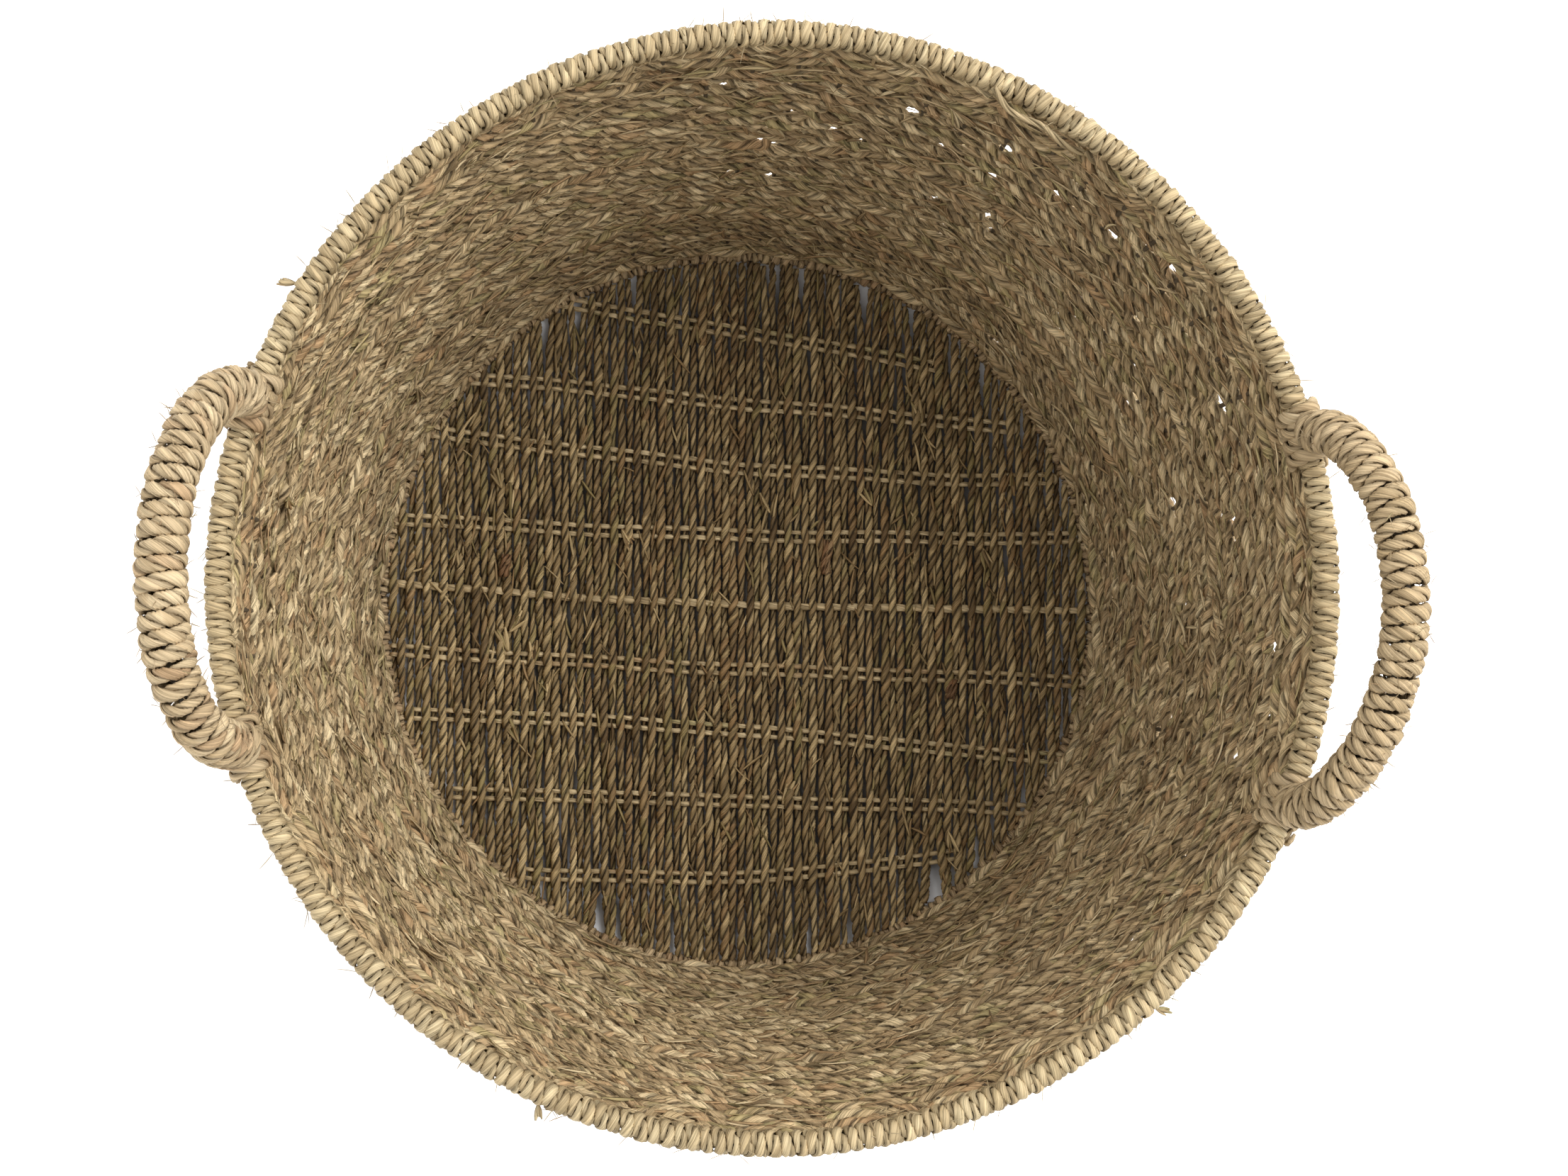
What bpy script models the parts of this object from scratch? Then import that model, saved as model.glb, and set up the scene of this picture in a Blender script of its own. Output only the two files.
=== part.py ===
"""Round seagrass storage basket: a wire frame woven over with two-ply seagrass cord, with two upright loop handles.

Metres, +Z up. The origin is the centre of the underside, on the surface that the basket stands on.
The base cords run along Y, the base bars along X, and the handles stand at +X and -X.
"""

import math

import bmesh
import bpy
from mathutils import Matrix, Vector

# Driving dimensions
GAP = 0.0003                    # left between pieces that touch
STAKES = 72                     # upright wires, two to a hairpin
STEP = 2 * math.pi / STAKES     # angle from one upright to the next
FOOT_RADIUS = 0.1803            # middle of the wall, at the foot
RIM_RADIUS = 0.2150             # middle of the wall and of the rim, at the top
RIM_TOP = 0.3000
WALL_FOOT = 0.0083
WALL_TOP = 0.2860
FLARE = 1.3                     # slope at the foot over the mean slope: the wall bellies out a little
CORD = 0.0040                   # seagrass cord, across both plies
STAKE_WIRE = 0.0020
HOOP_WIRE = 0.0030
CORE_WIRE = 0.0040

MAT_THICKNESS = 0.0080
RING_WRAP_WIDTH = 0.0080        # wrapped foot ring, across the binding
RIM_WIDTH = 0.0100              # wrapped rim, across the binding
RIM_HEIGHT = RIM_TOP - WALL_TOP - GAP
CHANNEL = 0.0036                # hollow of a binding, where its hoop and the uprights' ends lie
RIM_HOOP_HEIGHT = 0.2935
FOOT_RING_HEIGHT = 0.0040

BAR_STRAND = 0.0023             # thin strand of a doubled base bar
BAR_PITCH = 0.0044              # between the two strands of a doubled bar
CENTRE_BAR = 0.0045             # the one thick bar
# Where each bar crosses the middle of the base, and how far askew it lies, as a slope.
BARS = (
    (-0.134, 0.037), (-0.096, -0.030), (-0.061, -0.074), (-0.030, -0.044), (0.0025, -0.036),
    (0.0375, -0.025), (0.0715, -0.074), (0.104, -0.085), (0.140, -0.160),
)
CENTRE_BAR_NUMBER = 5

# Each handle: its turn off the X axis, half its length along the rim, its rise to the middle of the bar,
# and its squareness, where 2 is an ellipse and more is a squarer arch.
HANDLES = {
    "right": (math.radians(-3.8), 0.0740, 0.0535, 2.0),
    "left": (math.radians(178.8), 0.0668, 0.0545, 2.45),
}
HANDLE_LEAN = math.tan(math.radians(10.9))
HANDLE_THICKNESS = 0.0185
HANDLE_STATIONS = 22
HANDLE_SIDES = 10

LASHING_WALL = 0.0030
LASHING_LENGTH = 0.0240             # along the rim
LASHING_DROP = 0.0220               # down both sides of the rim and the wall

SEAGRASS = (0.42, 0.34, 0.20)
PALE_SEAGRASS = (0.62, 0.54, 0.36)
WARM_SEAGRASS = (0.60, 0.48, 0.30)
DARK_WIRE = (0.16, 0.14, 0.12)


def clear_scene():
    for thing in list(bpy.data.objects):
        bpy.data.objects.remove(thing, do_unlink=True)


def finish(name, colour, roughness, metallic):
    """A plain surface: colour, roughness and metallic value."""
    material = bpy.data.materials.new(name)
    material.use_nodes = True
    shader = material.node_tree.nodes["Principled BSDF"]
    shader.inputs["Base Color"].default_value = (*colour, 1.0)
    shader.inputs["Roughness"].default_value = roughness
    shader.inputs["Metallic"].default_value = metallic
    return material


def place(thing, material, turn=0.0):
    bpy.context.scene.collection.objects.link(thing)
    thing.data.materials.append(material)
    thing.rotation_euler.z = turn
    return thing


def solid(name, bm, material, turn=0.0):
    """An object from a bmesh, with its normals made to point out."""
    bmesh.ops.remove_doubles(bm, verts=bm.verts, dist=1e-6)
    bmesh.ops.recalc_face_normals(bm, faces=bm.faces)
    mesh = bpy.data.meshes.new(name)
    bm.to_mesh(mesh)
    bm.free()
    mesh.shade_smooth()
    mesh.set_sharp_from_angle(angle=math.radians(40))
    return place(bpy.data.objects.new(name, mesh), material, turn)


def wire(name, points, diameter, material, cyclic=False, turn=0.0):
    """A round wire or strand along points."""
    curve = bpy.data.curves.new(name, "CURVE")
    curve.dimensions = "3D"
    curve.bevel_depth = diameter / 2
    curve.bevel_resolution = 1
    curve.use_fill_caps = not cyclic
    spline = curve.splines.new("POLY")
    spline.points.add(len(points) - 1)
    for spot, point in zip(spline.points, points):
        spot.co = (*point, 1.0)
    spline.use_cyclic_u = cyclic
    return place(bpy.data.objects.new(name, curve), material, turn)


def lofted(name, loops, material, closed, turn=0.0):
    """A skin through loops of points. Closed joins the last loop to the first."""
    bm = bmesh.new()
    rows = [[bm.verts.new(point) for point in loop] for loop in loops]
    count = len(loops[0])
    pairs = list(zip(rows, rows[1:]))
    if closed:
        pairs.append((rows[-1], rows[0]))
    for low, high in pairs:
        for i in range(count):
            j = (i + 1) % count
            bm.faces.new((low[i], low[j], high[j], high[i]))
    return solid(name, bm, material, turn)


def turned(name, outline, material, sweep, steps, start=0.0, turn=0.0):
    """A closed outline of (radius, height) points spun about Z: a ring, or a solid stretch of one."""
    bm = bmesh.new()
    side = Matrix.Rotation(start, 4, "Z")
    corners = [bm.verts.new(side @ Vector((radius, 0.0, height))) for radius, height in outline]
    face = bm.faces.new(corners)
    whole = abs(sweep - 2 * math.pi) < 1e-6
    spun = [face, *face.edges, *face.verts]
    if whole:
        bmesh.ops.delete(bm, geom=[face], context="FACES_ONLY")
        spun = [*bm.edges, *bm.verts]
    bmesh.ops.spin(bm, geom=spun, cent=(0, 0, 0), axis=(0, 0, 1), angle=sweep, steps=steps, use_merge=whole)
    return solid(name, bm, material, turn)


def hidden(cutter):
    cutter.hide_render = True
    cutter.display_type = "WIRE"
    return cutter


def cut(body, cutter):
    modifier = body.modifiers.new(cutter.name, "BOOLEAN")
    modifier.operation = "DIFFERENCE"
    modifier.object = cutter


def polar(angle, radius, height):
    return Vector((radius * math.cos(angle), radius * math.sin(angle), height))


def wall_radius(height):
    """Middle of the wall at a height: it flares more at the foot than at the rim."""
    share = (height - WALL_FOOT) / (WALL_TOP - WALL_FOOT)
    return FOOT_RADIUS + (RIM_RADIUS - FOOT_RADIUS) * (FLARE * share + (1 - FLARE) * share * share)


def levels(low, high, count):
    return [low + (high - low) * i / (count - 1) for i in range(count)]


def upright_angle(index):
    return (index + 0.5) * STEP


def channel_outline(middle, width, low, high, roof, opening_up):
    """Section of a binding: a block with rounded corners and a hollow open on one side."""
    half, slot, corner = width / 2, CHANNEL / 2, width * 0.28
    outline = [
        (half, low), (half, high - corner), (half - corner, high),
        (corner - half, high), (-half, high - corner), (-half, low),
        (-slot, low), (-slot, roof), (slot, roof), (slot, low),
    ]
    if opening_up:
        outline = [(across, low + high - height) for across, height in outline]
    return [(middle + across, height) for across, height in outline]


def build_base(seagrass, pale, metal):
    mat_radius = FOOT_RADIUS - RING_WRAP_WIDTH / 2 - GAP
    bm = bmesh.new()
    bmesh.ops.create_cone(
        bm, cap_ends=True, segments=STAKES, radius1=mat_radius, radius2=mat_radius, depth=MAT_THICKNESS,
        matrix=Matrix.Rotation(upright_angle(0), 4, "Z"),
    )
    mat = solid("base_mat", bm, seagrass)
    mat.location.z = MAT_THICKNESS / 2
    for number, (middle_y, slope) in enumerate(BARS, start=1):
        slant = math.atan(slope)
        place_y = middle_y * math.cos(slant)
        single = number == CENTRE_BAR_NUMBER
        thickness = CENTRE_BAR if single else BAR_STRAND
        spread = 0.0 if single else BAR_PITCH
        reach = math.sqrt(mat_radius**2 - (abs(place_y) + spread / 2) ** 2) - 2 * thickness
        build_bar(f"base_bar_{number}", place_y, slant, reach, thickness, spread, pale)
        bm = bmesh.new()
        size = (2 * FOOT_RADIUS, spread + thickness + 2 * GAP, thickness + 2 * GAP, 1.0)
        bmesh.ops.create_cube(bm, size=1.0, matrix=Matrix.Diagonal(size))
        tunnel = hidden(solid(f"tunnel_{number}", bm, seagrass))
        tunnel.location = (-place_y * math.sin(slant), place_y * math.cos(slant), MAT_THICKNESS / 2)
        tunnel.rotation_euler.z = slant
        cut(mat, tunnel)
    ring = [polar(upright_angle(i), FOOT_RADIUS, FOOT_RING_HEIGHT) for i in range(STAKES)]
    wire("base_ring", ring, HOOP_WIRE, metal, cyclic=True)
    floor_of_channel = FOOT_RING_HEIGHT + HOOP_WIRE / 2 + GAP
    outline = channel_outline(FOOT_RADIUS, RING_WRAP_WIDTH, 0.0, MAT_THICKNESS, floor_of_channel, True)
    turned("base_ring_wrap", outline, seagrass, 2 * math.pi, STAKES, start=upright_angle(0))


def build_bar(name, place_y, slant, reach, thickness, spread, material):
    """A base bar: one thick cord, or a thin strand that goes across, loops round and comes back."""
    if not spread:
        points = [(-reach, place_y, 0.0), (reach, place_y, 0.0)]
    else:
        bend = [math.pi * (i / 4 - 0.5) for i in range(5)]
        loop = [(reach + math.cos(a) * spread / 2, place_y + math.sin(a) * spread / 2, 0.0) for a in bend]
        points = [(-reach, place_y - spread / 2, 0.0), *loop, (-reach, place_y + spread / 2, 0.0)]
    bar = wire(name, points, thickness, material)
    bar.location.z = MAT_THICKNESS / 2
    bar.rotation_euler.z = slant


def build_uprights(metal):
    """Hairpins: two uprights from the foot ring, joined by a short run under the rim hoop."""
    foot = FOOT_RING_HEIGHT + HOOP_WIRE / 2 + GAP
    top = RIM_HOOP_HEIGHT - HOOP_WIRE / 2 - GAP - STAKE_WIRE / 2
    bend = 0.0035
    heights = [foot, *levels(WALL_FOOT, WALL_TOP, 4)[1:]]
    for hairpin in range(STAKES // 2):
        sides = (upright_angle(2 * hairpin), upright_angle(2 * hairpin + 1))
        legs = [[polar(a, wall_radius(z), z) for z in heights] for a in sides]
        corners = [polar(a, RIM_RADIUS, top) for a in sides]
        inward = (corners[1] - corners[0]).normalized() * bend
        run = [corners[0] + inward, corners[1] - inward]
        wire(f"stake_hairpin_{hairpin + 1:02d}", [*legs[0], *run, *reversed(legs[1])], STAKE_WIRE, metal)


def build_wall(seagrass):
    """The woven wall as one waved shell: it passes outside one upright and inside the next."""
    wave = CORD / 2 + STAKE_WIRE / 2 + GAP
    points_per_wave = 6
    count = points_per_wave * STAKES // 2
    heights = levels(WALL_FOOT, WALL_TOP, 4)

    def loop(height, side):
        points = []
        for i in range(count):
            phase = 2 * math.pi * i / points_per_wave
            angle = upright_angle(0) + 4 * math.pi / STAKES * i / points_per_wave
            points.append(polar(angle, wall_radius(height) + wave * math.cos(phase) + side * CORD / 2, height))
        return points

    outside = [loop(height, 1) for height in heights]
    inside = [loop(height, -1) for height in reversed(heights)]
    lofted("wall_weave", outside + inside, seagrass, closed=True)


def handle_spot(share, half_arc, top_rise, squareness):
    """Middle line of a handle, foot to foot, share 0 to 1: an arch that follows the rim and leans out."""
    around = math.cos(math.pi * share)
    up = math.sin(math.pi * share)
    power = 2 / squareness
    along = half_arc * math.copysign(abs(around) ** power, around)
    rise = top_rise * max(up, 0.0) ** power
    foot = RIM_TOP + LASHING_WALL + 2 * GAP
    return polar(along / RIM_RADIUS, RIM_RADIUS + rise * HANDLE_LEAN, foot + rise)


def handle_line(half_arc, top_rise, squareness):
    """Evenly spaced points along a handle's middle line."""
    fine = [handle_spot(i / 400, half_arc, top_rise, squareness) for i in range(401)]
    run = [0.0]
    for a, b in zip(fine, fine[1:]):
        run.append(run[-1] + (b - a).length)
    points, k = [], 0
    for i in range(HANDLE_STATIONS):
        wanted = run[-1] * i / (HANDLE_STATIONS - 1)
        while k < len(run) - 2 and run[k + 1] < wanted:
            k += 1
        share = (wanted - run[k]) / (run[k + 1] - run[k])
        points.append(fine[k].lerp(fine[k + 1], share))
    return points


def handle_loops(line, radius):
    """Rings of points round a handle's middle line, each square to it."""
    loops = []
    for i, point in enumerate(line):
        ahead = line[min(i + 1, len(line) - 1)] - line[max(i - 1, 0)]
        if i in (0, len(line) - 1):
            ahead = Vector((0, 0, 1 if i == 0 else -1))
        ahead.normalize()
        out = Vector((point.x, point.y, 0)).normalized()
        out = (out - ahead * out.dot(ahead)).normalized()
        side = ahead.cross(out)
        turns = [2 * math.pi * k / HANDLE_SIDES for k in range(HANDLE_SIDES)]
        loops.append([point + radius * (math.cos(a) * out + math.sin(a) * side) for a in turns])
    return loops


def build_handle(name, turn, shape, warm, metal):
    """A handle: a bent wire whose ends meet the rim hoop, in a sleeve of wound cord."""
    line = handle_line(*shape)
    skin = handle_loops(line, HANDLE_THICKNESS / 2)
    bore = handle_loops(line, CORE_WIRE / 2 + GAP)
    lofted(f"handle_wrap_{name}", skin + bore[::-1], warm, closed=True, turn=turn)
    end = RIM_HOOP_HEIGHT + HOOP_WIRE / 2 + GAP
    first, last = line[0].copy(), line[-1].copy()
    first.z = last.z = end
    wire(f"handle_core_{name}", [first, *line, last], CORE_WIRE, metal, turn=turn)
    return [first, last]


def build_lashing(name, foot, turn, warm):
    """A saddle of wound cord that binds a handle's foot over the rim: an upside-down U along the rim."""
    inner = max(RIM_WIDTH, 2 * CORD + STAKE_WIRE + 2 * GAP) / 2 + 3 * GAP
    outer = inner + LASHING_WALL
    top, roof = RIM_TOP + GAP + LASHING_WALL, RIM_TOP + GAP
    low = RIM_TOP - LASHING_DROP
    corner = LASHING_WALL
    section = [
        (outer, low), (outer, top - corner), (outer - corner, top),
        (corner - outer, top), (-outer, top - corner), (-outer, low),
        (-inner, low), (-inner, roof), (inner, roof), (inner, low),
    ]
    outline = [(RIM_RADIUS + across, height) for across, height in section]
    sweep = LASHING_LENGTH / RIM_RADIUS
    middle = math.atan2(foot.y, foot.x)
    return turned(f"handle_lashing_{name}", outline, warm, sweep, 4, start=middle - sweep / 2, turn=turn)


def build_core_hole(name, foot, turn, material):
    bm = bmesh.new()
    radius = CORE_WIRE / 2 + GAP
    depth = 0.030
    bmesh.ops.create_cone(bm, cap_ends=True, segments=8, radius1=radius, radius2=radius, depth=depth)
    cutter = hidden(solid(f"core_hole_{name}", bm, material, turn))
    cutter.location = Matrix.Rotation(turn, 3, "Z") @ Vector((foot.x, foot.y, foot.z + depth / 2))
    return cutter


def build_rim_and_handles(pale, warm, metal):
    hoop = [polar(upright_angle(i), RIM_RADIUS, RIM_HOOP_HEIGHT) for i in range(STAKES)]
    wire("rim_hoop", hoop, HOOP_WIRE, metal, cyclic=True)
    roof = RIM_HOOP_HEIGHT + HOOP_WIRE / 2 + GAP
    outline = channel_outline(RIM_RADIUS, RIM_WIDTH, RIM_TOP - RIM_HEIGHT, RIM_TOP, roof, False)
    rim = turned("rim_wrap", outline, pale, 2 * math.pi, STAKES, start=upright_angle(0))
    for side, (turn, *shape) in HANDLES.items():
        feet = build_handle(side, turn, shape, warm, metal)
        for number, foot in enumerate(feet, start=1):
            lashing = build_lashing(f"{side}_{number}", foot, turn, warm)
            hole = build_core_hole(f"{side}_{number}", foot, turn, metal)
            cut(lashing, hole)
            cut(rim, hole)


clear_scene()
seagrass_cord = finish("seagrass_cord", SEAGRASS, 0.85, 0.0)
pale_binding = finish("pale_binding", PALE_SEAGRASS, 0.80, 0.0)
warm_binding = finish("warm_binding", WARM_SEAGRASS, 0.80, 0.0)
frame_wire = finish("frame_wire", DARK_WIRE, 0.55, 0.8)
build_base(seagrass_cord, pale_binding, frame_wire)
build_uprights(frame_wire)
build_wall(seagrass_cord)
build_rim_and_handles(pale_binding, warm_binding, frame_wire)
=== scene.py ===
# %% [markdown]
# # A seagrass storage basket
# The real basket is a wire frame woven over with two-ply seagrass cord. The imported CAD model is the
# frame here: it says where every piece is, and this script gives each piece its cords and its finish.

# %% Load the frame
import math

import bpy
import numpy as np
from mathutils import Matrix, Vector


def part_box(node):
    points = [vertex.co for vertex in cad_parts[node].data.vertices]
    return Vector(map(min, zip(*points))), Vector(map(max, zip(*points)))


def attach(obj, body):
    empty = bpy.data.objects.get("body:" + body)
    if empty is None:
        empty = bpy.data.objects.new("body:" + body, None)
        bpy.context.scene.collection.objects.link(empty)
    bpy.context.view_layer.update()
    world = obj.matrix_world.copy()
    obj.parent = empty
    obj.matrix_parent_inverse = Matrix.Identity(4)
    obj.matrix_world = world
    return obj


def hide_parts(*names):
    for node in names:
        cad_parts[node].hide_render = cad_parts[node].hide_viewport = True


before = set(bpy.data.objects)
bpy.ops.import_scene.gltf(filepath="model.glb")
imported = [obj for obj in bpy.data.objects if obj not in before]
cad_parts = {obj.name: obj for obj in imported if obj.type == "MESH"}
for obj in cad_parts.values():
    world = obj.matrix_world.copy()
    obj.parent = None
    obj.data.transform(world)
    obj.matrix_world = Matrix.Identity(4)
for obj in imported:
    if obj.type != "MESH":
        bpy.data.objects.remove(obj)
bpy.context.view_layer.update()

# %% [markdown]
# ## Sizes
# Places come from the CAD nodes' boxes: the foot and the top of the wall, the rim and the base mat.
# The cords' own sizes are a maker's. The plies of a cord sink into each other, so a base cord that starts
# from 5 mm comes out about 4 mm thick, and a wall cord that starts from 6.4 mm about 5 mm.

# %% Sizes from the frame
MM = 0.001
rim_low, rim_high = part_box("rim_wrap")
wall_low, wall_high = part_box("wall_weave")
mat_low, mat_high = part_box("base_mat")
foot_low, foot_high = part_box("base_ring_wrap")
UPRIGHTS = 2 * sum(name.startswith("stake_hairpin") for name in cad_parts)
RIM_WIDTH = 10 * MM
FOOT_RING_WIDTH = 8 * MM
RIM_RADIUS = rim_high.x - RIM_WIDTH / 2
RIM_MIDDLE = (rim_low.z + rim_high.z) / 2
RIM_TOP = rim_high.z
FOOT_RADIUS = foot_high.x - FOOT_RING_WIDTH / 2
WALL_FOOT, WALL_TOP = wall_low.z, wall_high.z
MAT_MIDDLE = (mat_low.z + mat_high.z) / 2
MAT_TOP = mat_high.z
print("uprights", UPRIGHTS, "rim radius", round(RIM_RADIUS, 4), "foot radius", round(FOOT_RADIUS, 4))

rng = np.random.default_rng(11)

# %% [markdown]
# ## Twisting a cord
# A seagrass cord is two plies twisted round each other, and each ply is a bundle of dried blades. Array
# and Curve modifiers could repeat one length of cord, but every length would then look alike. The plies
# here are swept in code instead, so that thickness, twist and colour change along them as blades end and
# new ones start.

# %% Smooth random waves along a length
def waver(length, spacing, closed=False):
    """A function of the distance along, from -1 to 1, with a new random value every spacing."""
    count = max(3, round(length / spacing))
    knots = rng.uniform(-1, 1, count + 1)
    if closed:
        knots[-1] = knots[0]

    def value(distance):
        place = np.clip(np.asarray(distance) / length, 0, 1) * count
        before = np.minimum(place.astype(int), count - 1)
        share = place - before
        share = share * share * (3 - 2 * share)
        return knots[before] * (1 - share) + knots[before + 1] * share

    return value


def blades(distance, mean_length, own=None):
    """Three random values for each blade along a ply: its tone, how red it is and how green it is. A cord's
    own values, where given, are about a third of each."""
    total = distance[-1] + mean_length
    ends = np.cumsum(rng.uniform(0.3, 1.7, int(total / mean_length * 1.5) + 4) * mean_length)
    values = rng.uniform(0, 1, (len(ends) + 1, 3))
    if own is not None:
        values = 0.65 * values + 0.35 * own
    return values[np.searchsorted(ends, distance)]

# %% The sweep of one strand
def unit(vectors):
    return vectors / np.maximum(np.linalg.norm(vectors, axis=-1, keepdims=True), 1e-12)


def directions(path, outward, closed):
    """Along, out and across at each point of a path."""
    if closed:
        along = unit(np.roll(path, -1, 0) - np.roll(path, 1, 0))
    else:
        along = unit(np.gradient(path, axis=0))
    out = unit(outward - along * (outward * along).sum(-1, keepdims=True))
    return along, out, np.cross(along, out)


def distance_along(path):
    return np.concatenate([[0], np.cumsum(np.linalg.norm(np.diff(path, axis=0), axis=1))])


def ply(path, out, across, turn, radius, reach, fullness, squash, sides, closed, blade, own=None):
    """One ply: a tube whose middle circles the path at reach. It is fuller than it is thick, as it is
    pressed against the other ply. squash is the cord's size along out and across."""
    distance = distance_along(path)
    corner = np.arange(sides) * 2 * math.pi / sides
    near = reach[:, None] + 0.98 * radius[:, None] * np.cos(corner)
    aside = fullness * radius[:, None] * np.sin(corner)
    c, s = np.cos(turn)[:, None], np.sin(turn)[:, None]
    x = (near * c - aside * s) * squash[0]
    y = (near * s + aside * c) * squash[1]
    points = path[:, None, :] + x[..., None] * out[:, None, :] + y[..., None] * across[:, None, :]
    look = np.repeat(blades(distance, blade, own)[:, None, :], sides, axis=1)
    fibre = np.empty_like(points)
    # The first value is high on the outer side of a ply and low on the side that faces the other ply, where
    # the material paints shade.
    fibre[..., 0] = np.cos(corner)
    fibre[..., 1] = np.sin(corner)
    fibre[..., 2] = (distance * 100 + rng.uniform(0, 500))[:, None]
    return {"points": points, "fibre": fibre, "look": look, "closed": closed}


def cord(path, outward, thickness, lay, closed=False, sides=5, squash=(1, 1), swell=0.12, blade=0.05,
         fullness=1.6, grow=1.0, sunk=0.95, uneven_twist=0.9):
    """The two plies of a cord along a path. lay is the length of one full twist, and below 0 it twists the
    other way. grow makes the cord thicker or thinner from place to place. A ply's middle lies its own radius
    times sunk from the cord's middle, so soft plies, which sink into each other, have less than 1."""
    along, out, across = directions(path, outward, closed)
    distance = distance_along(path)
    length = distance[-1] + (np.linalg.norm(path[0] - path[-1]) if closed else 0)
    twists = length / lay
    lay = abs(lay)
    if closed:
        twists = round(twists)
    turn = 2 * math.pi * twists * distance / length + rng.uniform(0, 2 * math.pi)
    turn = turn + uneven_twist * waver(length, 2 * lay, closed)(distance)
    made, own = [], rng.uniform(0, 1, 3)
    for start in (0, math.pi):
        uneven = waver(length, 0.8 * lay, closed)(distance)
        uneven = uneven + waver(length, 1.4 * thickness, closed)(distance)
        radius = thickness / 4 * (1 + swell * uneven) * grow
        reach = radius * sunk
        strand = ply(path, out, across, turn + start, radius, reach, fullness, squash, sides, closed,
                     blade, own)
        made.append(strand)
    return made

# %% Loose blades
BLADE_POINTS = 7


def loose_blade(root, direction, up, length, width, lift, curl=0.0, flatness=4.0):
    """A strip that lies on the weave, pointed at both ends, whose far end lifts off it and curls aside."""
    share = np.linspace(0, 1, BLADE_POINTS)
    aside = np.cross(up, direction)
    path = root + np.outer(share * length, direction) + np.outer(lift * share ** 2, up)
    path = path + np.outer(curl * share ** 2, aside)
    radius = width / 2 / flatness * (0.25 + 0.75 * np.sin(math.pi * (0.08 + 0.84 * share)))
    along, out, across = directions(path, np.tile(up, (BLADE_POINTS, 1)), False)
    turn = share * rng.uniform(-0.9, 0.9)
    strand = ply(path, out, across, turn, radius, 0 * radius, flatness, (1, 1), 4, False, 1.0)
    # A loose blade has no neighbouring ply, so it gets little of the painted shade that darkens a ply's inner
    # side.
    strand["fibre"][..., 0] = 0.6 + 0.4 * strand["fibre"][..., 0]
    return strand


def tuft(root, direction, up, count, length, width, spread, lift):
    """The frayed end of a cord: a fan of blades from one root."""
    aside = np.cross(up, direction)
    fan = []
    for turn in rng.uniform(-spread, spread, count):
        way = direction * math.cos(turn) + aside * math.sin(turn)
        size = rng.uniform(0.6, 1.2)
        raised = lift * rng.uniform(0.3, 1)
        fan.append(loose_blade(root, way, up, length * size, width * size, raised))
    return fan

# %% A piece from many strands
def strand_faces(rows, sides, first, closed):
    """Corner numbers of a tube's quads, and of its two end caps if it is open."""
    ring = np.arange(rows if closed else rows - 1)[:, None]
    side = np.arange(sides)[None, :]
    ahead, beside = (ring + 1) % rows, (side + 1) % sides
    quads = np.stack([ring * sides + side, ring * sides + beside,
                      ahead * sides + beside, ahead * sides + side], -1)
    start, end = np.arange(sides)[::-1] + first, np.arange(sides) + first + (rows - 1) * sides
    return quads.reshape(-1, 4) + first, [] if closed else [start, end]


def piece(name, strands, material, slot, *nodes):
    """One mesh object from the strands, riding on the basket and standing for the CAD nodes."""
    points, fibres, looks, quads, caps, first = [], [], [], [], [], 0
    for strand in strands:
        rows, sides = strand["points"].shape[:2]
        faces, ends = strand_faces(rows, sides, first, strand["closed"])
        points.append(strand["points"].reshape(-1, 3))
        fibres.append(strand["fibre"].reshape(-1, 3))
        looks.append(strand["look"].reshape(-1, 3))
        quads.append(faces)
        caps.extend(ends)
        first += rows * sides
    quads = np.concatenate(quads)
    corners = np.concatenate([quads.ravel(), *caps]).astype(np.int32)
    sizes = np.concatenate([np.full(len(quads), 4), [len(cap) for cap in caps]]).astype(np.int32)
    mesh = bpy.data.meshes.new(name)
    mesh.vertices.add(first)
    mesh.vertices.foreach_set("co", np.concatenate(points).astype(np.float32).ravel())
    mesh.loops.add(len(corners))
    mesh.loops.foreach_set("vertex_index", corners)
    mesh.polygons.add(len(sizes))
    mesh.polygons.foreach_set("loop_start", np.concatenate([[0], np.cumsum(sizes)[:-1]]).astype(np.int32))
    for label, values in (("fibre", fibres), ("look", looks)):
        attribute = mesh.attributes.new(label, "FLOAT_VECTOR", "POINT")
        attribute.data.foreach_set("vector", np.concatenate(values).astype(np.float32).ravel())
    mesh.update(calc_edges=True)
    mesh.shade_smooth()
    mesh.materials.append(material)
    made = bpy.data.objects.new(name, mesh)
    bpy.context.scene.collection.objects.link(made)
    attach(made, "root")
    if nodes:
        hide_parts(*nodes)
    print(name, "triangles", int((sizes - 2).sum()))
    return made

# %% [markdown]
# ## Dried seagrass
# A dried blade runs from olive through straw to a reddish tan, with fine grooves along it. The colour of
# each blade comes from the look attribute (tone, red, green), and the grooves are a noise that is
# stretched along the ply by the fibre attribute. They make streaks of lighter and darker fibre, and the dark
# at the bottom of each groove is painted shade. The grooves also drive the bump and the roughness. The
# side of a ply that faces its neighbour is darker, as little light gets in between them.

# %% The seagrass material
def ramp(nodes, stops):
    node = nodes.new("ShaderNodeValToRGB")
    elements = node.color_ramp.elements
    while len(elements) < len(stops):
        elements.new(0.5)
    for element, (place, colour) in zip(elements, stops):
        element.position = place
        element.color = (*colour, 1)
    return node


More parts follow.
